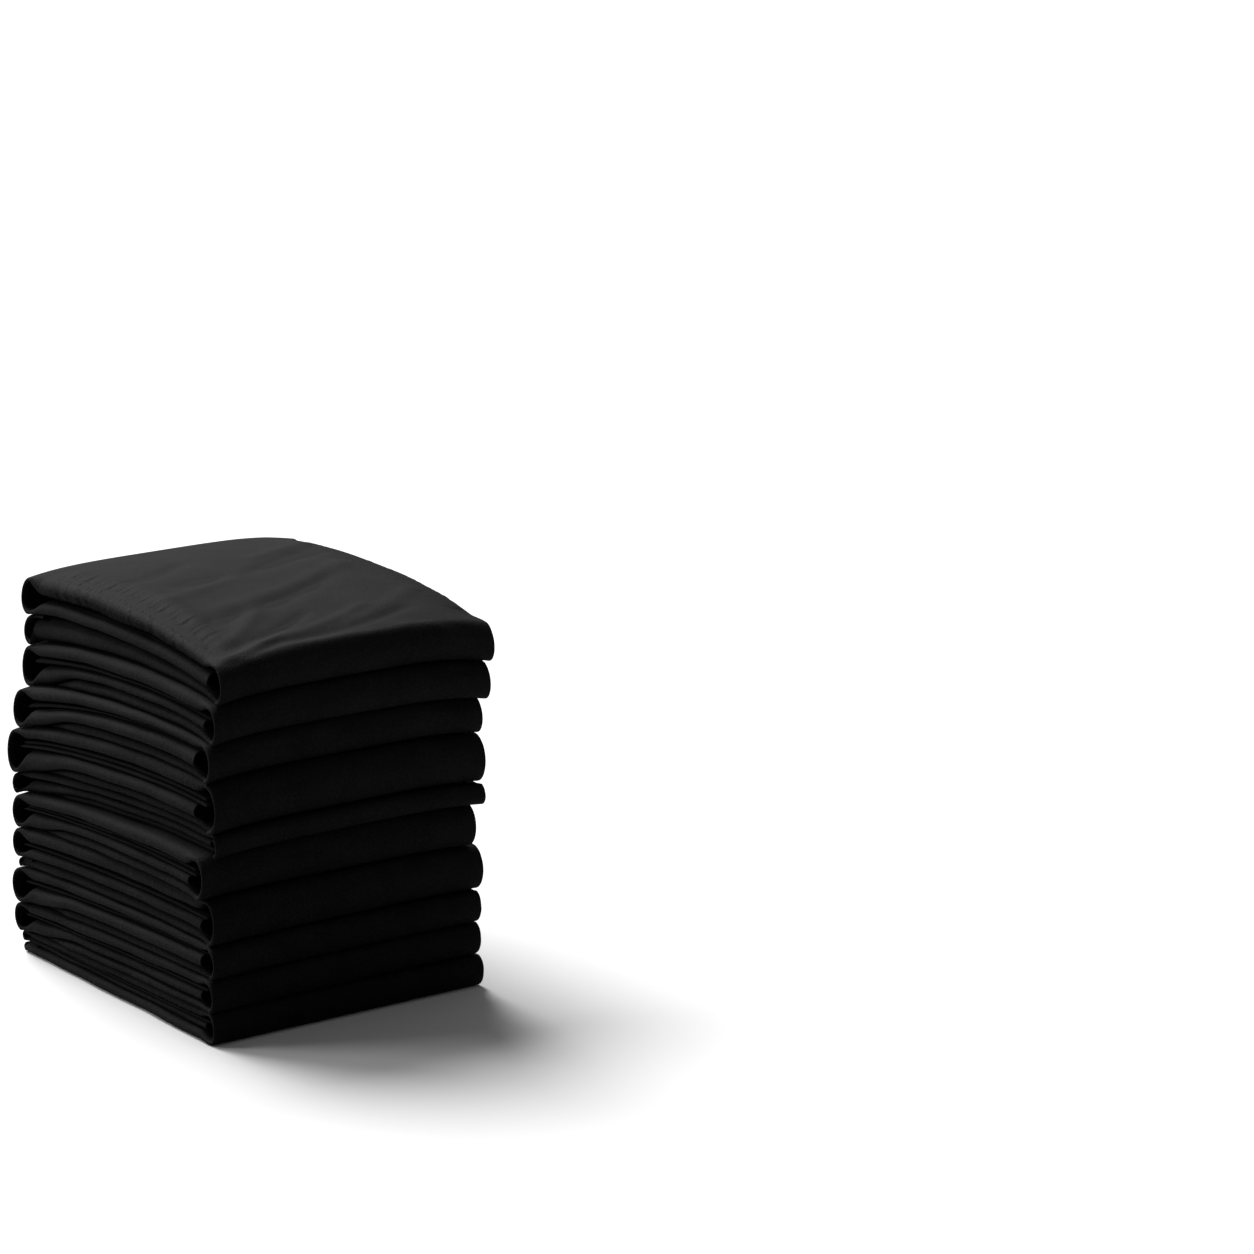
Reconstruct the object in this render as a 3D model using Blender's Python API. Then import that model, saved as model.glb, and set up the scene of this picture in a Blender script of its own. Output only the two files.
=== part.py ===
"""Ten T-shirts, folded alike and stacked.

Each shirt is laid face down, its two sides and sleeves are turned in to make a strip, and the strip
is folded in three: the hem end first, then the neck end under it. The packet lies with its smooth
panel up. X runs across the side folds, Y from the front end fold to the back one, Z up.
The strip's outer cloth is the front panel, one wall that turns from the hem, forwards to back,
round the back fold, over the top, round the front fold and under. Sizes below are in millimetres.
"""

import math
from collections import namedtuple

import bmesh
import bpy

MM = 0.001

# Driving sizes
FOLD_WIDTH = 250.0
CLOTH = 1.2
HEM_WALL = 1.0
HEM_WIDTH = 22.0
GAP = 0.4
BETWEEN_SHIRTS = 1.3
TAIL = 12.0
RIM_RADIUS = 2.6
RIM_TAIL = 3.0
MIDDLE_KNOT = -5.0
FAR_KNOT = 102.0
FULL_REACH = 120.0
REACH_FROM_FOLD = 6.0
NECK_DROP = 20.0
SWELL_ALONG = 11.0
SWELL_ACROSS = 6.0
CORNER_SAG = 5.0
SWELL_LENGTH = 300.0
CURL_ANGLES = (120, 60, 0)
SPLIT_ORDER = (1.0, 0.4, 0.1)

# One row for each shirt, from the top. front and back are its thickness at those ends, top_* the
# share of it that the upper layer takes and low_* the lower one, neck is where the lower layer ends
# (from FULL_REACH on it fills the back fold's foot), and shift, turn and length place the packet.
Shirt = namedtuple(
    "Shirt", "front back top_front top_back low_front low_back neck shift_x shift_y turn length"
)
SHIRTS = [
    Shirt(32, 53, 9, 14, 8, 27, 128, 7, -8, 0.5, 300),
    Shirt(31, 34, 12, 12, 9, 9, 104, 5, -7, -0.3, 300),
    Shirt(30, 32, 8, 13, 7, 8, 102, 0, -1, 0.4, 300),
    Shirt(40, 37, 14, 11, 8, 8, 104, -1, 1, 1.0, 312),
    Shirt(18, 18, 5, 5, 7, 7, 106, 0, 0, 1.2, 306),
    Shirt(35, 28, 12, 9, 9, 7, 102, -4, 1, -0.3, 298),
    Shirt(37, 33, 14, 13, 8, 8, 128, -1, 2, 1.2, 304),
    Shirt(26, 30, 7, 11, 6, 7, 104, -2, 2, 1.0, 304),
    Shirt(27, 25, 8, 9, 6, 7, 104, -2, 2, 0.8, 302),
    Shirt(26, 18, 8, 5, 9, 7, 128, 1, -1, -0.6, 298),
]

Station = namedtuple("Station", "y z into_y into_z radius tail")
Colour = namedtuple("Colour", "name rgb roughness")
BLACK_JERSEY = Colour("black_jersey", (0.012, 0.012, 0.013), 0.9)
BLACK_INSIDE = Colour("black_jersey_inside", (0.008, 0.008, 0.009), 0.95)


def between(low, high, share):
    return low + (high - low) * share


def material_for(colour):
    """The piece's plain cotton colour, made once and shared."""
    found = bpy.data.materials.get(colour.name)
    if found:
        return found
    made = bpy.data.materials.new(colour.name)
    made.use_nodes = True
    shader = made.node_tree.nodes["Principled BSDF"]
    shader.inputs["Base Color"].default_value = (*colour.rgb, 1.0)
    shader.inputs["Roughness"].default_value = colour.roughness
    shader.inputs["Metallic"].default_value = 0.0
    return made


class Packet:
    """One folded shirt: its layers' heights, where it lies in the stack, and its folding path."""

    def __init__(self, row, floor_front, floor_back, stack_height):
        self.row = row
        self.floor = (floor_front, floor_back)
        self.stack_height = stack_height
        self.half = row.length / 2
        self.on_table = floor_front == 0
        self.front_end = -self.half + row.front / 2
        self.full_reach = row.neck > FULL_REACH
        self.neck = self.half - row.back / 2 - REACH_FROM_FOLD if self.full_reach else row.neck
        self.back_end = self.half - (self.total(self.half) - self.low_at_back()) / 2
        hem_end = self.front_end + HEM_WIDTH + GAP
        far_knot = FAR_KNOT if self.full_reach else self.neck
        self.knots = [self.front_end, hem_end, MIDDLE_KNOT, far_knot, self.back_end]

    def along(self, front, back, y):
        return between(front, back, (y + self.half) / (2 * self.half))

    def total(self, y):
        return self.along(self.row.front, self.row.back, y)

    def top(self, y):
        return self.along(self.row.top_front, self.row.top_back, y)

    def low(self, y):
        return self.along(self.row.low_front, self.row.low_back, y)

    def low_at_back(self):
        return self.low(self.half) + GAP if self.full_reach else 0.0

    def surface(self, x, y, share):
        """The height in the stack of a point that is this share of the way up the packet."""
        across = 2 * x / FOLD_WIDTH
        along = 2 * y / SWELL_LENGTH
        swell = SWELL_ALONG * (1 - along**2) + SWELL_ACROSS * (1 - across**2)
        swell -= CORNER_SAG * (along * across) ** 4
        place = (y + SWELL_LENGTH / 2) / SWELL_LENGTH
        floor = between(*self.floor, place)
        thick = between(self.row.front, self.row.back, place)
        low_swell = swell * between(*self.floor, 0.5) / self.stack_height
        high_swell = swell * (between(*self.floor, 0.5) + (self.row.front + self.row.back) / 2) / self.stack_height
        low = floor + low_swell + (0 if self.on_table else BETWEEN_SHIRTS / 2)
        high = floor + thick + high_swell - BETWEEN_SHIRTS / 2
        return between(low, high, share)

    def placed(self, x, y, share):
        angle = math.radians(self.row.turn)
        turned_x = x * math.cos(angle) - y * math.sin(angle) + self.row.shift_x
        turned_y = x * math.sin(angle) + y * math.cos(angle) + self.row.shift_y
        return turned_x, turned_y, self.surface(turned_x, turned_y, share)

    def world(self, x, y, z):
        """A point of the flat packet, laid in the stack. It runs straight between the knots."""
        share = z / self.total(y)
        point = self.placed(x, y, share)
        for low, high in zip(self.knots, self.knots[1:]):
            if low < y < high:
                start, end = self.placed(x, low, share), self.placed(x, high, share)
                point = (point[0], point[1], between(start[2], end[2], (y - low) / (high - low)))
        return tuple(value * MM for value in point)

    def upper_station(self, y):
        return Station(y, self.total(y), 0, -1, self.top(y) / 2, TAIL)

    def lower_station(self, y):
        return Station(y, 0, 0, 1, self.low(y) / 2, TAIL)

    def inner_station(self, y, dropped=False):
        """The hem third, which lies on the lower layer and sinks where that layer ends."""
        floor = 0 if dropped else self.low(y) + GAP
        return Station(y, floor, 0, 1, (self.total(y) - self.top(y) - GAP - floor) / 2, TAIL)

    def turn(self, y, low, high, way, steps):
        """Stations round an end fold, from its lower side to its upper one, bulging along way."""
        radius, middle = (high - low) / 2, (high + low) / 2
        stations = []
        for step in range(1, steps):
            angle = math.pi * step / steps
            out, up = math.sin(angle), -math.cos(angle)
            stations.append(
                Station(y + way * radius * out, middle + radius * up, -way * out, -up, RIM_RADIUS, RIM_TAIL)
            )
        return stations

    def inner_run(self):
        """The hem third from its open end to the back fold."""
        run = [self.inner_station(y) for y in self.knots[:-1]]
        if not self.full_reach:
            run.append(self.inner_station(self.neck + NECK_DROP, dropped=True))
        return run + [self.inner_station(self.back_end, dropped=not self.full_reach)]

    def folding_path(self):
        back_turn = self.turn(self.back_end, self.low_at_back(), self.total(self.back_end), 1, 3)
        upper = [self.upper_station(station.y) for station in reversed(self.inner_run())]
        front_turn = self.turn(self.front_end, 0, self.total(self.front_end), -1, 4)
        return self.inner_run() + back_turn + upper + front_turn[::-1] + self.lower_run()

    def lower_run(self):
        run = [self.lower_station(y) for y in self.knots[:-1]]
        return run + [self.lower_station(self.neck)] if self.full_reach else run


def curl(station, inset):
    """Half of a row across X, from the turned-in tail round the side fold to the flat."""
    edge = FOLD_WIDTH / 2 - station.radius
    reach = station.radius - inset
    half = [(edge - station.tail, 2 * station.radius - inset)]
    for degrees in CURL_ANGLES:
        angle = math.radians(degrees)
        half.append((edge + reach * math.sin(angle), station.radius - reach * math.cos(angle)))
    return half


def row_across(packet, station, inset):
    """The row of points at this depth in the cloth, from the left tail to the right one."""
    half = curl(station, inset)
    flat = [(-x, depth) for x, depth in half] + [(0, inset)] + half[::-1]
    return [
        packet.world(x, station.y + station.into_y * depth, station.z + station.into_z * depth)
        for x, depth in flat
    ]


def wall_section(packet, station, inset, thickness):
    return row_across(packet, station, inset), row_across(packet, station, inset + thickness)


def cut_between(first, second, share):
    """The section that lies this share of the way from one section to the next."""
    return tuple(
        [tuple(between(a, b, share) for a, b in zip(p, q)) for p, q in zip(row, other)]
        for row, other in zip(first, second)
    )


def mirrored_section(packet, y, half):
    """A solid section from its right half, listed from the top middle to the bottom middle."""
    right = [packet.world(x, y, z) for x, z in half]
    left = [packet.world(-x, y, z) for x, z in half[1:-1]]
    return right, left


def mirrored_patches(right):
    """Patches that close a solid section, from its right half's: the left half counts backwards."""
    return right + [tuple(-i for i in patch) for patch in right]


WALL_PATCHES = [(i, i + 1, -2 - i, -1 - i) for i in range(2 * len(CURL_ANGLES) + 2)]
LAYERS_PATCHES = mirrored_patches(
    [(1, 2, 3, 4), (0, 1, 4, 5), (0, 5, 6, 11), (11, 6, 7, 10), (7, 8, 9, 10)]
)
LOWER_PATCHES = mirrored_patches([(1, 2, 3), (0, 1, 3, 4)])


def layers_section(packet, inner):
    """The hidden layers of the upper and the hem third, with a groove for the turned-in tails."""
    clear = CLOTH + GAP
    upper = packet.upper_station(inner.y)
    upper_curl, inner_curl = curl(upper, clear), curl(inner, clear)
    groove = min(upper_curl[0][0], inner_curl[0][0]) - GAP
    half = [(0, upper.z - clear)]
    half += [(x, upper.z - depth) for x, depth in upper_curl[::-1]]
    half.append((groove, upper.z - upper_curl[0][1]))
    half.append((groove, inner.z + inner_curl[0][1]))
    half += [(x, inner.z + depth) for x, depth in inner_curl]
    half.append((0, inner.z + clear))
    return mirrored_section(packet, inner.y, half)


def lower_layers_section(packet, station):
    clear = CLOTH + GAP
    side = curl(station, clear)
    half = [(0, side[0][1])] + [(x, depth) for x, depth in side[1:]] + [(0, clear)]
    return mirrored_section(packet, station.y, half)


def add_patch(shape, corners):
    """Triangles from the corner nearest one far point, so that layers are split alike."""
    start = min(range(len(corners)), key=lambda i: corners[i].co.dot(SPLIT_ORDER))
    around = corners[start:] + corners[:start]
    for second, third in zip(around[1:], around[2:]):
        shape.faces.new((around[0], second, third))


def sweep(name, sections, colour, patches):
    """One closed body through matching sections, each a pair of rows. The patches close both ends."""
    mesh = bpy.data.meshes.new(name)
    shape = bmesh.new()
    rings = []
    for first, second in sections:
        rings.append([shape.verts.new(p) for p in first] + [shape.verts.new(p) for p in second[::-1]])
    count = len(rings[0])
    for ring, following in zip(rings, rings[1:]):
        for i in range(count):
            j = (i + 1) % count
            add_patch(shape, [ring[i], ring[j], following[j], following[i]])
    for ring in (rings[0], rings[-1]):
        for patch in patches:
            add_patch(shape, [ring[i] for i in patch])
    bmesh.ops.recalc_face_normals(shape, faces=shape.faces)
    shape.to_mesh(mesh)
    shape.free()
    mesh.materials.append(material_for(colour))
    mesh.shade_smooth()
    mesh.set_sharp_from_angle(angle=math.radians(50))
    piece = bpy.data.objects.new(name, mesh)
    bpy.context.scene.collection.objects.link(piece)
    return piece


def build_front_panel(packet, name):
    sections = [wall_section(packet, station, 0, CLOTH) for station in packet.folding_path()]
    sweep(name, sections, BLACK_JERSEY, WALL_PATCHES)


def build_hem(packet, name):
    """The hem allowance, turned up inside the open end of the hem third."""
    start, end = packet.inner_run()[:2]
    first = wall_section(packet, start, CLOTH + GAP, HEM_WALL)
    second = wall_section(packet, end, CLOTH + GAP, HEM_WALL)
    last = cut_between(first, second, HEM_WIDTH / (HEM_WIDTH + GAP))
    sweep(name, [first, last], BLACK_INSIDE, WALL_PATCHES)


def build_back_panel(packet, name):
    """The back panel and the turned-in sides, which share one solid behind the hem."""
    sections = [layers_section(packet, station) for station in packet.inner_run()[1:]]
    sweep(name, sections, BLACK_INSIDE, LAYERS_PATCHES)


def build_sleeves(packet, name):
    """The neck end's layers: the folded sleeves, shoulders and neckband share one solid."""
    sections = [lower_layers_section(packet, station) for station in packet.lower_run()]
    sweep(name, sections, BLACK_INSIDE, LOWER_PATCHES)


def build_stack():
    stack_height = sum((row.front + row.back) / 2 for row in SHIRTS)
    floor_front = floor_back = 0.0
    for number in range(len(SHIRTS), 0, -1):
        row = SHIRTS[number - 1]
        packet = Packet(row, floor_front, floor_back, stack_height)
        name = f"shirt_{number:02d}"
        build_front_panel(packet, f"{name}_front")
        build_hem(packet, f"{name}_hem")
        build_back_panel(packet, f"{name}_back")
        build_sleeves(packet, f"{name}_sleeves")
        floor_front += row.front
        floor_back += row.back


for old in list(bpy.data.objects):
    bpy.data.objects.remove(old)
build_stack()
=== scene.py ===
import math
from collections import namedtuple

import bpy
import numpy as np
from mathutils import Matrix, Vector


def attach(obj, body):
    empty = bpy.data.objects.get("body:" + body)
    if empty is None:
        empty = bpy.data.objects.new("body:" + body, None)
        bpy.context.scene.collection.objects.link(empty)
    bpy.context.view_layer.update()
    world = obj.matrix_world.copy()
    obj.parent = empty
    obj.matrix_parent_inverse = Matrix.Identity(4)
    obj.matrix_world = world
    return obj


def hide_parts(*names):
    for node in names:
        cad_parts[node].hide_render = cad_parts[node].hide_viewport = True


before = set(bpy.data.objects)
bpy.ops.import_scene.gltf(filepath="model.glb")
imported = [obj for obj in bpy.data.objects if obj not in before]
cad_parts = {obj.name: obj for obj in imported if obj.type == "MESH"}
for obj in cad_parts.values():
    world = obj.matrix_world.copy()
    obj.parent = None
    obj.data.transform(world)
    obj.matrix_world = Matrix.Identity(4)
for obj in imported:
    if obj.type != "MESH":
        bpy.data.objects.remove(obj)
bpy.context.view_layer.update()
mm = 0.001

# The whole stack, in millimetres
stack = {
    "foldWidth": 250.0,  # each packet's width
    "swellLength": 300.0,
    "swellAlong": 11.0,  # how much the middle stands higher than the two ends
    "swellAcross": 4.0,  # and than the two sides
    "cornerSag": 5.0,
    "between": 0.6,  # the gap between two packets
    "fullReach": 120.0,  # a neck end past this goes on to the back fold and turns there
    "neckShort": 2.0,  # how far short of that fold it turns
    "frontBulge": 0.36,  # how far a fold stands out, as a share of its height
    "backBulge": 0.4,
    "mostBulge": 12.0,
    "neckFadeFrom": 45.0,  # where a short neck end starts to thin out, before its end
    "neckFadeOver": 62.0,
}

# One row a shirt, from the top, in millimetres and degrees. front and back are its thickness at
# those ends. Then come the shares of the upper layer, the thin folds and the lower layer at the
# front, middle and back, and the count of thin folds. neck is where the neck end stops, and mouth
# how far in the hem's mouth lies. The values named In are how far in each layer's sides lie, and
# shift and turn are how the packet lies on the stack.
Shirt = namedtuple(
    "Shirt",
    "front back topF topM topB thinF thinM thinB thins lowF lowM lowB neck mouth "
    "topIn thinIn hemIn lowIn shiftX shiftY turn length",
)
shirts = [
    Shirt(32, 57, 11, 18, 20, 0, 0, 0, 0, 8, 15, 26, 128, 9, 0, 6, 1, 3, 7, -8, 0.5, 300),
    Shirt(31, 34, 12, 12, 11, 2, 3, 6, 1, 9, 10, 9, 104, 7, 0, 5, 1, 2, 5, -7, -0.3, 300),
    Shirt(30, 32, 7, 9, 14, 1, 2, 5, 1, 7, 8, 8, 102, 11, 2, 6, 0, 3, 0, -1, 0.4, 300),
    Shirt(40, 37, 14, 12, 11, 7, 7, 6, 2, 7, 8, 8, 104, 15, 1, 4, 0, 5, -1, 1, 1.0, 312),
    Shirt(18, 18, 6, 6, 6, 0, 0, 0, 0, 5, 5, 5, 108, 9, 4, 6, 5, 8, 0, 0, 1.2, 306),
    Shirt(35, 28, 12, 11, 9, 6, 5, 4, 2, 8, 8, 7, 102, 10, 0, 4, 1, 2, -4, 1, -0.3, 298),
    Shirt(37, 33, 15, 14, 13, 3, 3, 2, 1, 8, 9, 8, 128, 8, 0, 4, 1, 3, -1, 2, 1.2, 304),
    Shirt(26, 30, 7, 8, 11, 0, 2, 3, 1, 6, 7, 7, 104, 9, 2, 5, 0, 3, -2, 2, 1.0, 304),
    Shirt(27, 25, 8, 9, 9, 3, 2, 2, 1, 6, 7, 7, 104, 10, 1, 4, 2, 2, -2, 2, 0.8, 302),
    Shirt(26, 18, 8, 7, 5, 2, 2, 1, 1, 9, 9, 8, 128, 8, 1, 4, 3, 0, 1, 0, 0.3, 298),
]
stackHeight = sum((row.front + row.back) / 2 for row in shirts)


def mix(low, high, share):
    return low + (high - low) * share


def smooth(value):
    value = np.clip(value, 0.0, 1.0)
    return value * value * (3 - 2 * value)


ripples = {"waves": (0.61, 1.0, 1.43), "level": 2.1, "finer": 1.9, "weaker": 0.45}


# A smooth uneven wave of about one to a unit, mostly between -1 and 1
def ripple(value, seed, octaves=3):
    random = np.random.default_rng(seed)
    total = np.zeros_like(np.asarray(value, float))
    size, weight = 1.0, 1.0
    for _ in range(octaves):
        for wave in ripples["waves"]:
            phase = random.uniform(0, 2 * math.pi)
            swing = np.sin(2 * math.pi * wave * size * value + phase)
            total = total + weight * swing / ripples["level"]
        size *= ripples["finer"]
        weight *= ripples["weaker"]
    return total


# Where one folded shirt's layers lie, in millimetres, and how they sit in the stack
class Packet:
    def __init__(self, number, row, floorFront, floorBack):
        self.number = number
        self.name = f"shirt_{number:02d}"
        self.row = row
        self.isTop = number == 1
        self.seed = number * 7
        self.floor = (floorFront, floorBack)
        self.half = row.length / 2
        self.fullReach = row.neck > stack["fullReach"]
        self.frontBulge = stack["frontBulge"] * row.front
        self.frontEnd = -self.half + self.frontBulge
        upper = row.back - (row.lowB if self.fullReach else 0.0)
        self.backBulge = min(stack["backBulge"] * upper, stack["mostBulge"])
        self.backEnd = self.half - self.backBulge
        self.neck = self.backEnd - stack["neckShort"] if self.fullReach else float(row.neck)
        self.mouth = self.frontEnd + row.mouth

    # A height given at the front, middle and back, at y along the packet
    def three(self, front, middle, back, y):
        t = np.asarray(y, float) / self.half
        return front * (t * t - t) / 2 + middle * (1 - t * t) + back * (t * t + t) / 2

    def total(self, y):
        run = (np.asarray(y, float) + self.half) / (2 * self.half)
        return mix(self.row.front, self.row.back, run)

    def top(self, y):
        return self.three(self.row.topF, self.row.topM, self.row.topB, y)

    def thin(self, y):
        return self.three(self.row.thinF, self.row.thinM, self.row.thinB, y)

    # The lower layer's height, which comes down to nothing where a short neck end stops
    def low(self, y):
        height = self.three(self.row.lowF, self.row.lowM, self.row.lowB, y)
        if self.fullReach:
            return height
        past = np.asarray(y, float) - self.neck + stack["neckFadeFrom"]
        return height * (1 - smooth(past / stack["neckFadeOver"]))

    def hemTop(self, y):
        return self.total(y) - self.top(y) - self.thin(y)

    # Points of the flat packet, laid in the stack, in metres
    def place(self, x, y, z):
        share = z / self.total(y)
        angle = math.radians(self.row.turn)
        px = x * math.cos(angle) - y * math.sin(angle) + self.row.shiftX
        py = x * math.sin(angle) + y * math.cos(angle) + self.row.shiftY
        across = 2 * px / stack["foldWidth"]
        along = 2 * py / stack["swellLength"]
        swell = stack["swellAlong"] * (1 - along**2) + stack["swellAcross"] * (1 - across**4)
        swell = swell - stack["cornerSag"] * (along * across) ** 4
        run = (py + stack["swellLength"] / 2) / stack["swellLength"]
        floor = mix(*self.floor, run)
        middle = mix(*self.floor, 0.5)
        halfGap = 0.5 * stack["between"]
        onTable = self.floor[0] == 0
        low = floor + swell * middle / stackHeight + (0 if onTable else halfGap)
        grown = middle + (self.row.front + self.row.back) / 2
        thick = mix(self.row.front, self.row.back, run)
        high = floor + thick + swell * grown / stackHeight - halfGap
        return np.stack([px, py, mix(low, high, share)], axis=-1) * mm


# The main creases of the cloth: across and along the cloth, both in millimetres, with
# along counted from the front fold's upper edge. Positive runs back over the top.
Crease = namedtuple("Crease", "x1 s1 x2 s2 width lift")
topCreases = [
    Crease(-108, 18, -40, 74, 7, 1.4),
    Crease(-100, 12, -10, 50, 6, -1.2),
    Crease(-84, 10, 40, 46, 6, 1.3),
    Crease(-70, 6, 70, 30, 5, -0.9),
    Crease(-92, 60, 60, 122, 9, -1.3),
    Crease(-70, 84, 90, 150, 10, 1.2),
    Crease(-98, 120, 20, 176, 9, 1.1),
    Crease(-60, 150, 100, 200, 11, -1.4),
    Crease(-90, 182, -20, 214, 8, -1.0),
    Crease(10, 20, 100, 70, 8, 1.0),
    Crease(30, 196, 108, 236, 9, 1.0),
    Crease(-104, 28, -104, 250, 10, 1.6),
    Crease(-113, -4, -60, 8, 4, -0.8),
    Crease(-112, 2, -50, 20, 3.5, 0.7),
]
faceCreases = [
    Crease(-118, 2, -70, -12, 4, 0.5),
    Crease(-110, -8, -30, -14, 5, -0.6),
    Crease(-60, 6, 20, -4, 5, 0.5),
    Crease(-10, -12, 60, -6, 6, -0.6),
    Crease(40, 4, 110, -14, 5, 0.5),
    Crease(84, -2, 120, -10, 4, -0.5),
]
creaseShape = {
    "bow": 0.06,  # how far a crease bends aside, as a share of its length
    "past": 14.0,  # how far it runs on past its ends
    "fade": 24.0,
}


def creaseLift(creases, x, s):
    past, fade = creaseShape["past"], creaseShape["fade"]
    total = np.zeros_like(x)
    for one in creases:
        dx, ds = one.x2 - one.x1, one.s2 - one.s1
        length = math.hypot(dx, ds)
        along = ((x - one.x1) * dx + (s - one.s1) * ds) / length
        off = ((x - one.x1) * -ds + (s - one.s1) * dx) / length
        bend = np.sin(math.pi * np.clip(along / length, 0, 1))
        off = off + creaseShape["bow"] * length * bend
        ends = smooth((along + past) / fade) * smooth((length + past - along) / fade)
        total = total + one.lift * ends * np.exp(-((off / one.width) ** 2))
    return total


def meshOf(name, points, faces, uv=None):
    mesh = bpy.data.meshes.new(name)
    mesh.from_pydata([tuple(p) for p in points], [], faces)
    if uv is not None:
        layer = mesh.uv_layers.new(name="cloth")
        loops = np.zeros(len(mesh.loops), dtype=np.int32)
        mesh.loops.foreach_get("vertex_index", loops)
        layer.data.foreach_set("uv", uv[loops].astype(np.float32).ravel())
    mesh.validate()
    for face in mesh.polygons:
        face.use_smooth = True
    piece = bpy.data.objects.new(name, mesh)
    bpy.context.scene.collection.objects.link(piece)
    return piece


def gridFaces(rows, columns, closed=False):
    faces = []
    for i in range(rows - 1):
        here, ahead = i * columns, (i + 1) * columns
        for j in range(columns if closed else columns - 1):
            k = (j + 1) % columns
            faces.append((here + j, here + k, ahead + k, ahead + j))
    return faces


# The map of a sheet: across it and along it, in metres
def clothMap(across, along):
    across = np.stack(across, axis=1)
    along = np.repeat(along[:, None], across.shape[1], axis=1)
    return (np.stack([across, along], axis=-1) * mm).reshape(-1, 2)


cloth = {
    "step": 1.8,  # the mesh's spacing along the cloth
    "topStep": 1.1,  # and on the top shirt
    "flatPoints": 29,
    "topFlatPoints": 61,
    "curlPoints": 9,
    "tailShares": (0.35, 0.7, 1.0),
    "rim": 1.5,  # the curl of a side where the cloth goes round a fold
    "rimWave": 0.3,
    "rimFade": 17.0,
    "foldIn": 0.6,
    "curl": 0.88,  # the curl of a side elsewhere, as a share of its layer
    "leastCurl": 0.8,
    "puff": 1.3,  # how much wider than deep a side's curl is
    "round": 0.8,  # how square a fold's bulge is
    "tail": 13.0,  # how far a side runs back inside its layer
    "shortTail": 5.0,
    "tailDrop": 0.3,
    "overLow": 0.4,  # how far the hem third lies above the neck third
    "neckIn": 5.0,
    "neckInOver": 40.0,
    "neckBulge": 0.45,
    "neckMostBulge": 11.0,
    "neckReturn": 16.0,  # how far a full neck third comes back round its own fold
    "neckReturnIn": 3.0,
    "turnPoints": 1.5,  # a fold's points, against a straight of the same height
    "leastTurnPoints": 10,
}
Path = namedtuple("Path", "y z inY inZ radius inset roll s")


# The front panel's way round the packet: each point's place, the direction into the packet, the
# side's curl and inset there, 1 where its side is a roll and 0 round a fold, and the way along it
def clothPath(packet):
    row, rim = packet.row, cloth["rim"]
    step = cloth["topStep"] if packet.isTop else cloth["step"]
    parts = []

    def straight(y, z, thick, inset, ends):
        radius = thick / 2 * cloth["curl"]
        for end in ends:
            radius = mix(rim, radius, smooth(np.abs(y - end) / cloth["rimFade"]))
        inset = inset + np.zeros_like(y)
        parts.append((y, z, np.maximum(radius, cloth["leastCurl"]), inset, np.ones_like(y)))

    def turn(y, low, high, bulge, way, up):
        count = max(cloth["leastTurnPoints"], int((high - low) * cloth["turnPoints"] / step))
        angle = np.linspace(0, math.pi, count + 2)[1:-1]
        if not up:
            angle = angle[::-1]
        ys = y + way * bulge * np.sin(angle) ** cloth["round"]
        zs = (low + high) / 2 - (high - low) / 2 * np.cos(angle)
        radius = np.full_like(ys, rim) + cloth["rimWave"] * np.sin(3 * angle)
        parts.append((ys, zs, radius, np.full_like(ys, cloth["foldIn"]), np.zeros_like(ys)))

    # The hem third, from its mouth back along the inside
    y = np.arange(packet.mouth, packet.backEnd, step)
    low = packet.low(y) + cloth["overLow"]
    straight(y, low, packet.hemTop(y) - low, row.hemIn, [packet.backEnd])
    backLow = float(packet.low(packet.backEnd)) + (cloth["overLow"] if packet.fullReach else 0.0)
    backHigh = float(packet.total(packet.backEnd))
    turn(packet.backEnd, backLow, backHigh, packet.backBulge, 1, True)
    # The top third, forward over everything
    y = np.arange(packet.backEnd, packet.frontEnd, -step)
    straight(y, packet.total(y), packet.top(y), row.topIn, [packet.backEnd, packet.frontEnd])
    topEnd = sum(len(part[0]) for part in parts)
    turn(packet.frontEnd, 0.0, float(packet.total(packet.frontEnd)), packet.frontBulge, -1, False)
    # The neck third, back underneath
    y = np.arange(packet.frontEnd, packet.neck, step)
    neckIn = cloth["neckIn"] * smooth((y - packet.neck + cloth["neckInOver"]) / cloth["neckInOver"])
    inset = row.lowIn + (0.0 if packet.fullReach else neckIn)
    straight(y, np.zeros_like(y), packet.low(y), inset, [packet.frontEnd])
    if packet.fullReach:
        high = float(packet.low(packet.neck))
        bulge = min(cloth["neckBulge"] * high, cloth["neckMostBulge"])
        turn(packet.neck, 0.0, high, bulge, 1, True)
        y = np.arange(packet.neck, packet.neck - cloth["neckReturn"], -step)
        inset = np.full_like(y, cloth["neckReturnIn"])
        parts.append((y, packet.low(y), np.full_like(y, rim), inset, np.ones_like(y)))

    y, z, radius, inset, roll = (np.concatenate(column) for column in zip(*parts))
    ty, tz = np.gradient(y), np.gradient(z)
    size = np.hypot(ty, tz)
    s = np.concatenate([[0], np.cumsum(np.hypot(np.diff(y), np.diff(z)))])
    return Path(y, z, -tz / size, ty / size, radius, inset, roll, s[topEnd] - s)


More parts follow.
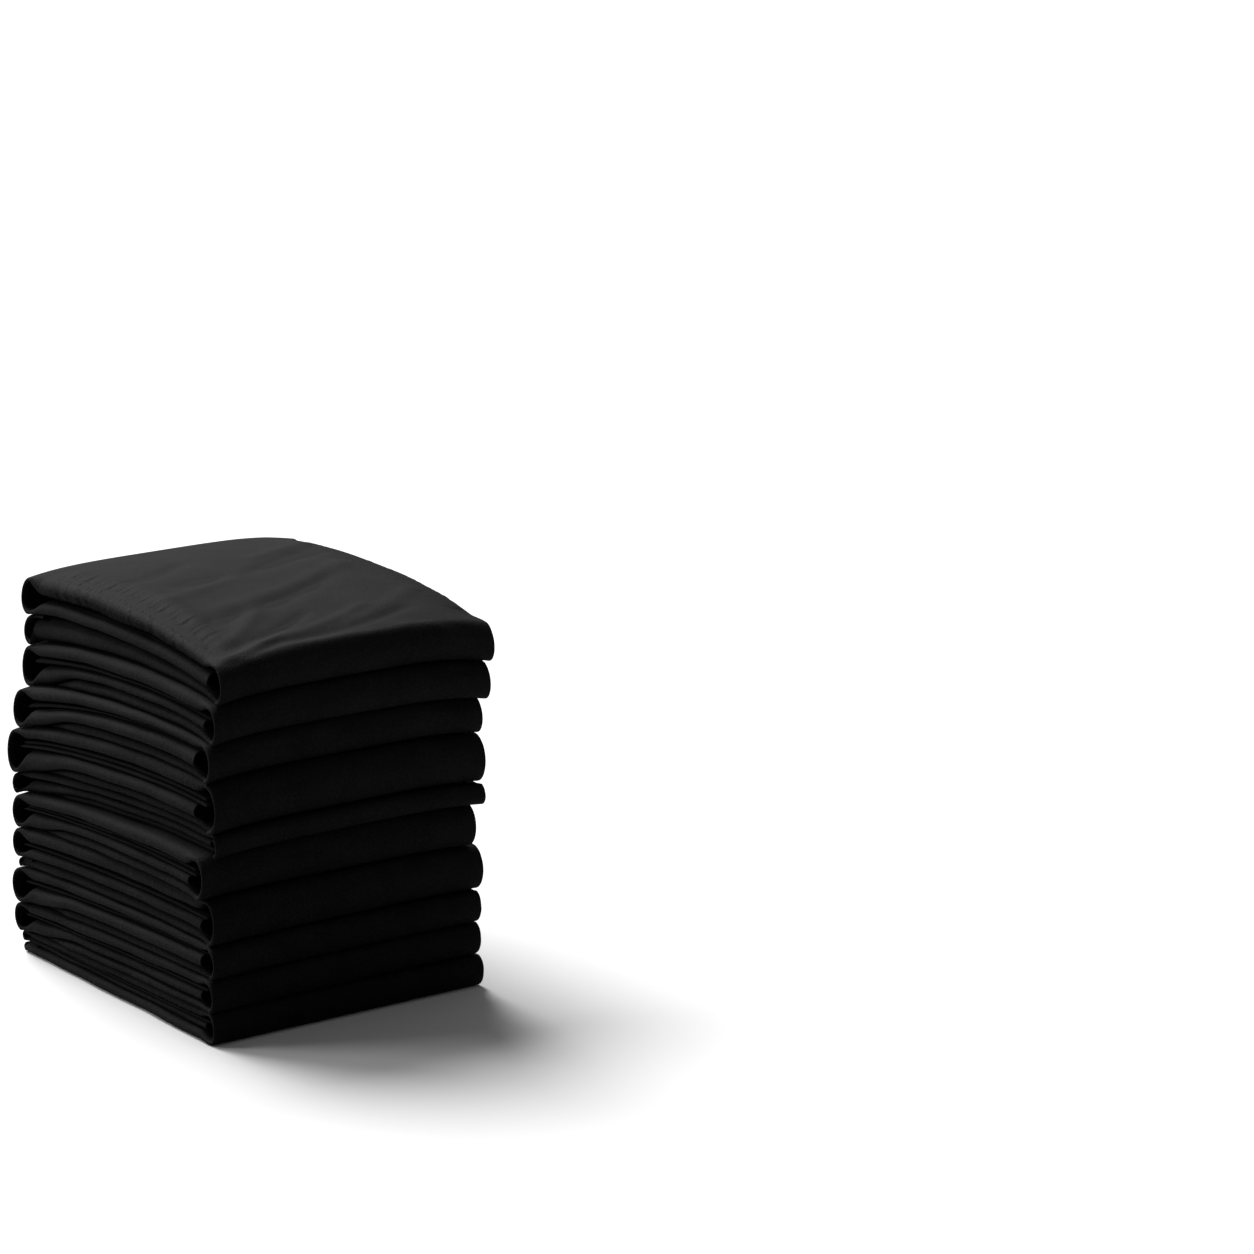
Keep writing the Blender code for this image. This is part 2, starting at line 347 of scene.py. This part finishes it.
wrinkles = {
    "wander": 4.0,
    "wanderLength": 90.0,
    "slow": 0.18,  # the slow unevenness of every sheet
    "slowAlong": 90.0,
    "slowAcross": 95.0,
    "topFrom": -60.0,  # the top's own creases end here, under the front fold
    "shoulder": 2.2,  # how far the top shirt's sides fall away
    "shoulderFrom": 66.0,
    "shoulderWide": 52.0,
    "shoulderStart": -2.0,
    "shoulderEnd": 276.0,
    "shoulderFade": 20.0,
    "apart": 6.2,  # the close wrinkles that run round the folded sides
    "fine": 0.2,
    "topFineLeft": 1.05,
    "topFineRight": 0.4,
    "topNearLeft": 0.85,  # the same wrinkles where they run on over the top
    "topNearRight": 0.3,
    "nearFrom": 86.0,
    "nearWide": 26.0,
    "nearEdge": 120.0,
    "nearSlant": 0.35,
    "startsAt": 15.0,
    "startFade": 40.0,
    "endsAt": 262.0,
    "endFade": 30.0,
    "roundSlant": 5.0,
    "roundFade": 0.7,
    "sway": 2.5,
    "swayLength": 23.0,
}


# The two sides are folded alike but not the same
def sideSeed(packet, side):
    return packet.seed + (0 if side < 0 else 50)


# How far the cloth stands off its path at x across it, with angle the way round its side's curl
def clothLift(packet, path, x, side, angle):
    s = path.s
    wander = wrinkles["wander"] * ripple(x / wrinkles["wanderLength"], packet.seed)
    total = creaseLift(faceCreases, x, s + wander)
    if packet.isTop:
        total = total + creaseLift(topCreases, x, s) * (s > wrinkles["topFrom"])
    slow = ripple(s / wrinkles["slowAlong"] + x / wrinkles["slowAcross"], packet.seed + 3, 2)
    total = total + wrinkles["slow"] * slow * path.roll
    reach = path.roll
    if packet.isTop:
        out = (np.abs(x) - wrinkles["shoulderFrom"]) / wrinkles["shoulderWide"]
        fade = wrinkles["shoulderFade"]
        start = smooth((s - wrinkles["shoulderStart"]) / fade)
        end = smooth((wrinkles["shoulderEnd"] - s) / fade)
        total = total - wrinkles["shoulder"] * np.clip(out, 0, 1) ** 2 * start * end
        reach = smooth((s - wrinkles["startsAt"]) / wrinkles["startFade"])
        reach = reach * smooth((wrinkles["endsAt"] - s) / wrinkles["endFade"])
    sway = wrinkles["sway"] * np.sin(s / wrinkles["swayLength"])
    fineSeed = sideSeed(packet, side) + 5
    if angle:
        fine = wrinkles["fine"]
        if packet.isTop:
            fine = wrinkles["topFineLeft"] if side < 0 else wrinkles["topFineRight"]
        wave = ripple((s + wrinkles["roundSlant"] * angle + sway) / wrinkles["apart"], fineSeed, 1)
        around = math.sin(angle) ** wrinkles["roundFade"] if angle < math.pi else 0.0
        total = total * math.cos(angle / 2) + fine * wave * around * reach
    elif packet.isTop:
        near = smooth((np.abs(x) - wrinkles["nearFrom"]) / wrinkles["nearWide"])
        near = near * (wrinkles["topNearLeft"] if side < 0 else wrinkles["topNearRight"])
        slant = wrinkles["nearSlant"] * (wrinkles["nearEdge"] - np.abs(x))
        wave = ripple((s - slant + sway) / wrinkles["apart"], fineSeed, 1)
        total = total + near * wave * reach
    return total


uneven = {"edge": 0.45, "edgeLength": 130.0, "curl": 0.04, "curlLength": 110.0}


# The front panel, one sheet folded round the packet with its two sides turned in
def clothSheet(packet):
    path = clothPath(packet)
    s, roll = path.s, path.roll
    tail = mix(cloth["shortTail"], cloth["tail"], roll)
    centres, radii = {}, {}
    for side in (-1, 1):
        seed = sideSeed(packet, side)
        wave = uneven["edge"] * ripple(s / uneven["edgeLength"], seed, 2)
        edge = stack["foldWidth"] / 2 - path.inset + wave
        wave = uneven["curl"] * ripple(s / uneven["curlLength"], seed + 1, 2) * roll
        radii[side] = path.radius * (1 + wave)
        centres[side] = edge - radii[side] * mix(1.0, cloth["puff"], roll)
    points, across, weight = [], [], []

    def put(x, depth, unrolled, rolled):
        z = np.maximum(path.z + path.inZ * depth, 0.0)
        points.append(packet.place(x, path.y + path.inY * depth, z))
        across.append(unrolled)
        weight.append(rolled * roll)

    def putFlat(share):
        side = -1 if share < 0 else 1
        x = share * centres[side]
        put(x, -clothLift(packet, path, x, side, 0.0), x, 0.0)

    def putCurl(side, angle):
        centre, radius = centres[side], radii[side]
        unrolled = side * (centre + radius * angle)
        lift = clothLift(packet, path, unrolled, side, angle)
        puff = radius * mix(1.0, cloth["puff"], roll)
        x = side * (centre + puff * math.sin(angle)) + side * math.sin(angle) * lift
        depth = radius * (1 - math.cos(angle)) - math.cos(angle) * lift
        put(x, depth, unrolled, math.sin(angle))

    def putTail(side, share):
        centre, radius = centres[side], radii[side]
        unrolled = side * (centre + radius * math.pi + tail * share)
        depth = 2 * radius - cloth["tailDrop"] * share
        put(side * (centre - tail * share), depth, unrolled, 0.0)

    angles = np.linspace(0, math.pi, cloth["curlPoints"] + 1)[1:]
    for share in cloth["tailShares"][::-1]:
        putTail(-1, share)
    for angle in angles[::-1]:
        putCurl(-1, angle)
    for share in np.linspace(-1, 1, cloth["topFlatPoints" if packet.isTop else "flatPoints"]):
        putFlat(share)
    for angle in angles:
        putCurl(1, angle)
    for share in cloth["tailShares"]:
        putTail(1, share)

    grid = np.stack(points, axis=1)
    faces = gridFaces(*grid.shape[:2])
    piece = meshOf(packet.name + "_cloth", grid.reshape(-1, 3), faces, clothMap(across, s))
    rollWeight = piece.data.attributes.new("rollWeight", "FLOAT", "POINT")
    rollWeight.data.foreach_set("value", np.stack(weight, axis=1).astype(np.float32).ravel())
    flatWidth = float(np.mean(across[-1] - across[0])) * mm
    flatLength = float(np.hypot(np.diff(path.y), np.diff(path.z)).sum()) * mm
    return piece, (round(flatWidth, 3), round(flatLength, 3))


soft = {
    "sidePoints": 8,
    "flatPoints": 9,
    "thinnest": 0.02,  # at the tip of its rounded ends
    "uneven": 0.4,
    "unevenLength": 120.0,
}


# A soft layer with rounded sides and ends: its points, ring by ring, and its faces
def slab(packet, y, low, high, inset, tip):
    middle, radius = (low + high) / 2, (high - low) / 2
    ends = np.clip(np.minimum(y - y[0], y[-1] - y) / tip, 0, 1)
    radius = radius * np.sqrt(np.clip(1 - (1 - ends) ** 2, soft["thinnest"], 1))
    seed = packet.number * 11 + int(low[0] * 3)
    wave = soft["uneven"] * ripple(y / soft["unevenLength"], seed, 2)
    centre = stack["foldWidth"] / 2 - inset + wave - radius
    angles = np.linspace(0, math.pi, soft["sidePoints"])
    shares = np.linspace(1, -1, soft["flatPoints"])[1:-1]
    rings = []
    for a in angles:
        rings.append((centre + radius * math.sin(a), middle + radius * math.cos(a)))
    for u in shares:
        rings.append((centre * u, middle - radius))
    for a in angles[::-1]:
        rings.append((-(centre + radius * math.sin(a)), middle + radius * math.cos(a)))
    for u in shares[::-1]:
        rings.append((centre * u, middle + radius))
    grid = np.stack([packet.place(x, y, np.maximum(h, 0)) for x, h in rings], axis=1)
    rows, count = grid.shape[:2]
    faces = gridFaces(rows, count, closed=True)
    faces.append(tuple(range(count))[::-1])
    faces.append(tuple((rows - 1) * count + j for j in range(count)))
    return grid.reshape(-1, 3), faces


def joinSlabs(name, slabs):
    points, faces, base = [], [], 0
    for slabPoints, slabFaces in slabs:
        points.append(slabPoints)
        faces += [tuple(i + base for i in face) for face in slabFaces]
        base += len(slabPoints)
    return meshOf(name, np.concatenate(points), faces)


fill = {
    "step": 4.0,
    "wall": 0.9,  # the room left for the cloth on its outer face
    "clear": 0.8,  # and on its other face
    "sideIn": 5.0,
    "topFrontIn": 16.0,  # how far inside the folds the top third's fill ends
    "topBackIn": 8.0,
    "topTip": 12.0,
    "hemFrontIn": 24.0,
    "hemBackIn": 10.0,
    "hemTip": 5.0,
}
thinFold = {
    "step": 2.0,
    "frontIn": 1.5,
    "backIn": 2.0,
    "nextFrontIn": 3.0,  # how much further in each one above starts
    "nextBackIn": 4.0,
    "nextSideIn": 1.5,
    "under": 0.1,  # the gap under it, as a share of its room
    "thick": 0.8,
    "leastThick": 0.7,
    "tip": 7.0,
}


# The back panel and the turned-in sides: the fills of two layers, and the thin folds between
def backLayers(packet):
    row, clear, wall = packet.row, fill["clear"], fill["wall"]
    front, back = packet.frontEnd + fill["topFrontIn"], packet.backEnd - fill["topBackIn"]
    y = np.arange(front, back, fill["step"])
    low, high = packet.total(y) - packet.top(y) + clear, packet.total(y) - wall
    slabs = [slab(packet, y, low, high, row.topIn + fill["sideIn"], fill["topTip"])]
    front, back = packet.mouth + fill["hemFrontIn"], packet.backEnd - fill["hemBackIn"]
    y = np.arange(front, back, fill["step"])
    low, high = packet.low(y) + cloth["overLow"] + wall, packet.hemTop(y) - clear
    slabs.append(slab(packet, y, low, high, row.hemIn + fill["sideIn"], fill["hemTip"]))
    for index in range(row.thins):
        front = packet.frontEnd + thinFold["frontIn"] + thinFold["nextFrontIn"] * index
        back = packet.backEnd - thinFold["backIn"] - thinFold["nextBackIn"] * index
        y = np.arange(front, back, thinFold["step"])
        room = packet.thin(y) / row.thins
        low = packet.hemTop(y) + index * room + thinFold["under"] * room
        high = low + np.maximum(thinFold["thick"] * room, thinFold["leastThick"])
        inset = row.thinIn + thinFold["nextSideIn"] * index
        slabs.append(slab(packet, y, low, high, inset, thinFold["tip"]))
    return joinSlabs(packet.name + "_backLayers", slabs)


neckFill = {
    "frontIn": 14.0,
    "backIn": 4.0,
    "shortBackIn": 24.0,  # where the neck third stops short and thins out
    "sideIn": 4.0,
    "tip": 8.0,
    "floor": 1.0,
}


# The shoulders and the folded sleeves, under the packet
def neckLayers(packet):
    back = packet.neck - neckFill["backIn" if packet.fullReach else "shortBackIn"]
    y = np.arange(packet.frontEnd + neckFill["frontIn"], back, fill["step"])
    low, high = np.full_like(y, neckFill["floor"]), packet.low(y) - fill["clear"]
    inset = packet.row.lowIn + neckFill["sideIn"]
    return meshOf(
        packet.name + "_neckLayers", *slab(packet, y, low, high, inset, neckFill["tip"])
    )


hem = {
    "along": (0.0, -0.5, -0.6, -0.4, 0.2, 2, 6, 12, 18, 22),  # round the lip, then 22 mm in
    "deep": (-0.15, 0.05, 0.5, 1.0, 1.15, 1.15, 1.2, 1.2, 1.2, 1.2),  # under the cloth's face
    "curl": 0.95,
    "curlFrom": 0.35,
    "curlPoints": 9,
    "flatPoints": 13,
    "tail": 13.0,
}


# The hem, turned up inside the open end of the hem third, with a soft rounded lip
def hemBand(packet):
    deep = np.array(hem["deep"])
    y = packet.mouth + np.array(hem["along"])
    low = packet.low(y) + cloth["overLow"]
    radius = (packet.hemTop(y) - low) / 2
    curl = hem["curl"] * radius
    centre = stack["foldWidth"] / 2 - packet.row.hemIn - curl
    columns = []
    for side in (-1, 1):
        tails = [
            (side * (centre - hem["tail"] * share), 2 * radius - deep) for share in (1.0, 0.5)
        ]
        curls = [
            (
                side * (centre + (curl - deep) * math.sin(angle)),
                radius - (radius - deep) * math.cos(angle),
            )
            for angle in np.linspace(math.pi, hem["curlFrom"], hem["curlPoints"])
        ]
        flats = [(centre * share, deep) for share in np.linspace(-1, 1, hem["flatPoints"])]
        columns += tails + curls + flats if side < 0 else (tails + curls)[::-1]
    grid = np.stack([packet.place(x, y, low + depth) for x, depth in columns], axis=1)
    uv = clothMap([x for x, depth in columns], y)
    return meshOf(packet.name + "_hemBand", grid.reshape(-1, 3), gridFaces(*grid.shape[:2]), uv)


# An sRGB hex colour as the linear values that the shaders take
def linear(hexColour):
    values = [int(hexColour[i : i + 2], 16) / 255 for i in (1, 3, 5)]
    values = [v / 12.92 if v <= 0.04045 else ((v + 0.055) / 1.055) ** 2.4 for v in values]
    return tuple(values) + (1.0,)


# A node with its settings, and inputs given as values or as other nodes' outputs
def addNode(tree, kind, settings=None, inputs=None):
    node = tree.nodes.new(kind)
    for key, value in (settings or {}).items():
        setattr(node, key, value)
    for key, value in (inputs or {}).items():
        if isinstance(value, bpy.types.NodeSocket):
            tree.links.new(value, node.inputs[key])
        else:
            node.inputs[key].default_value = value
    return node


# Sizes in millimetres. The real knit is about 0.5 mm, too fine to show, so the grain is coarser.
jersey = {
    "grain": 1.3158,
    "cloud": 29.412,  # the slow change of shade where the nap lies one way or another
    "wrinkleApart": 1.9231,
    "wrinkleLong": 16.667,
    "grainShare": 0.75,
    "rampFrom": 0.40,
    "rampTo": 0.60,
    "roughness": 0.72,
    "specular": 0.04,
    "sheenRoughness": 0.2,
    "sheenTint": "#c9c9d2",
    "rolledWrinkles": 0.9,
    "flatWrinkles": 0.12,
    "bump": 0.8,
    "bumpDepth": 0.8,
}


# Black combed-cotton jersey: matt and very dark, with a soft grey bloom where the nap is seen edge
# on, a fine knit grain and, round the folds, close soft compression wrinkles
def blackJersey(name, dark, light, sheen):
    material = bpy.data.materials.new(name)
    material.use_nodes = True
    tree = material.node_tree
    shader = tree.nodes["Principled BSDF"]
    coords = addNode(tree, "ShaderNodeTexCoord")
    nap = addNode(tree, "ShaderNodeTexNoise", inputs={
        "Vector": coords.outputs["Object"], "Scale": 1 / (jersey["grain"] * mm),
        "Detail": 4.0, "Roughness": 0.65})
    cloud = addNode(tree, "ShaderNodeTexNoise", inputs={
        "Vector": coords.outputs["Object"], "Scale": 1 / (jersey["cloud"] * mm),
        "Detail": 3.0, "Roughness": 0.55})
    fine = addNode(tree, "ShaderNodeMath", {"operation": "MULTIPLY"}, {
        0: nap.outputs["Fac"], 1: jersey["grainShare"]})
    both = addNode(tree, "ShaderNodeMath", {"operation": "MULTIPLY_ADD"}, {
        0: cloud.outputs["Fac"], 1: 1 - jersey["grainShare"], 2: fine.outputs["Value"]})
    ramp = addNode(tree, "ShaderNodeValToRGB", inputs={"Fac": both.outputs["Value"]})
    ramp.color_ramp.elements[0].position = jersey["rampFrom"]
    ramp.color_ramp.elements[0].color = linear(dark)
    ramp.color_ramp.elements[1].position = jersey["rampTo"]
    ramp.color_ramp.elements[1].color = linear(light)
    tree.links.new(ramp.outputs["Color"], shader.inputs["Base Color"])
    shader.inputs["Roughness"].default_value = jersey["roughness"]
    shader.inputs["Specular IOR Level"].default_value = jersey["specular"]
    shader.inputs["Sheen Weight"].default_value = sheen
    shader.inputs["Sheen Roughness"].default_value = jersey["sheenRoughness"]
    shader.inputs["Sheen Tint"].default_value = linear(jersey["sheenTint"])
    # The wrinkles run round the folds, on the cloth's own map
    across, along = 1 / (jersey["wrinkleLong"] * mm), 1 / (jersey["wrinkleApart"] * mm)
    flatCoords = addNode(tree, "ShaderNodeMapping", {"vector_type": "POINT"}, {
        "Vector": coords.outputs["UV"], "Scale": (across, along, 1.0)})
    wrinkle = addNode(tree, "ShaderNodeTexNoise", {"noise_dimensions": "2D"}, {
        "Vector": flatCoords.outputs["Vector"], "Scale": 1.0, "Detail": 2.0, "Roughness": 0.5})
    weight = addNode(tree, "ShaderNodeAttribute", {"attribute_name": "rollWeight"})
    strength = addNode(tree, "ShaderNodeMath", {"operation": "MULTIPLY_ADD"}, {
        0: weight.outputs["Fac"], 1: jersey["rolledWrinkles"], 2: jersey["flatWrinkles"]})
    height = addNode(tree, "ShaderNodeMath", {"operation": "MULTIPLY"}, {
        0: wrinkle.outputs["Fac"], 1: strength.outputs["Value"]})
    folds = addNode(tree, "ShaderNodeBump", inputs={
        "Strength": jersey["bump"], "Distance": jersey["bumpDepth"] * mm,
        "Height": height.outputs["Value"]})
    grain = addNode(tree, "ShaderNodeBump", inputs={
        "Strength": jersey["bump"], "Distance": jersey["bumpDepth"] * mm,
        "Height": nap.outputs["Fac"], "Normal": folds.outputs["Normal"]})
    tree.links.new(grain.outputs["Normal"], shader.inputs["Normal"])
    return material


print("making the jersey")
outerJersey = blackJersey("black combed-cotton jersey", "#010101", "#09090a", 0.004)
# The same cloth where it is folded inside, with painted shade: a little darker, as little light
# gets in
shadedInnerJersey = blackJersey("black jersey inside, painted shade", "#010101", "#050506", 0.003)

print("folding the shirts")
floorFront = floorBack = 0.0
packets = []
for number in range(len(shirts), 0, -1):
    packets.append(Packet(number, shirts[number - 1], floorFront, floorBack))
    floorFront += shirts[number - 1].front
    floorBack += shirts[number - 1].back

for packet in packets:
    sheet, flatSize = clothSheet(packet)
    layers = backLayers(packet)
    neck = neckLayers(packet)
    band = hemBand(packet)
    for piece, node, slotName, material in (
        (sheet, "front", "black_jersey", outerJersey),
        (layers, "back", "black_jersey_inside", shadedInnerJersey),
        (neck, "sleeves", "black_jersey_inside", shadedInnerJersey),
        (band, "hem", "black_jersey_inside", outerJersey),
    ):
        piece.data.materials.append(material)
        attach(piece, "root")
        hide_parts(f"{packet.name}_{node}")
    print(packet.name, flatSize, sum(len(p.data.polygons) for p in (sheet, layers, neck, band)))

print("setting the scene")
studio = {
    "floorSize": 80.0,
    "floorDrop": 0.0004,  # a hair under the lowest shirt
    "floorColour": "#9a9a9a",
    "floorRoughness": 0.9,
    "worldColour": "#ffffff",
    "worldStrength": 0.35,
    "lampDistance": 3.0,
}
bpy.ops.object.select_all(action="DESELECT")
bpy.ops.mesh.primitive_plane_add(size=studio["floorSize"], location=(0, 0, 0))
floor = bpy.context.active_object
floor.name = "floor"
floor.data.transform(Matrix.Translation((0, 0, -studio["floorDrop"])))
# White studio paper: plain and matt, and lit until it is white
paper = bpy.data.materials.new("white studio paper")
paper.use_nodes = True
paperShader = paper.node_tree.nodes["Principled BSDF"]
paperShader.inputs["Base Color"].default_value = linear(studio["floorColour"])
paperShader.inputs["Roughness"].default_value = studio["floorRoughness"]
floor.data.materials.append(paper)

world = bpy.data.worlds.new("studio")
bpy.context.scene.world = world
world.use_nodes = True
background = world.node_tree.nodes["Background"]
background.inputs["Color"].default_value = linear(studio["worldColour"])
background.inputs["Strength"].default_value = studio["worldStrength"]

lights = {
    "key": {"from": (-0.04, 0.62, 0.78), "soft": 40.0, "power": 11.5},
    "side": {"from": (-0.70, 0.50, 0.50), "soft": 22.0, "power": 2.2},
}
for lightName, values in lights.items():
    lamp = bpy.data.lights.new(lightName, "SUN")
    lamp.angle = math.radians(values["soft"])
    lamp.energy = values["power"]
    lampObject = bpy.data.objects.new(lightName, lamp)
    bpy.context.scene.collection.objects.link(lampObject)
    lampObject.location = Vector(values["from"]) * studio["lampDistance"]
    lampObject.rotation_euler = (-Vector(values["from"])).to_track_quat("-Z", "Y").to_euler()

view = {
    "lens": 135.0,
    "sensor": 36.0,
    "azimuth": -36.0,
    "elevation": 14.25,
    "place": (-1.8572, -3.0692, 1.1890),
}
camera = bpy.data.cameras.new("camera")
camera.lens = view["lens"]
camera.sensor_width = view["sensor"]
cameraObject = bpy.data.objects.new("camera", camera)
bpy.context.scene.collection.objects.link(cameraObject)
bpy.context.scene.camera = cameraObject
azimuth, elevation = math.radians(view["azimuth"]), math.radians(view["elevation"])
towardsCamera = Vector((
    math.sin(azimuth) * math.cos(elevation),
    -math.cos(azimuth) * math.cos(elevation),
    math.sin(elevation),
))
cameraObject.location = view["place"]
cameraObject.rotation_euler = (-towardsCamera).to_track_quat("-Z", "Y").to_euler()

bpy.context.scene.view_settings.view_transform = "Standard"

print("finishing")
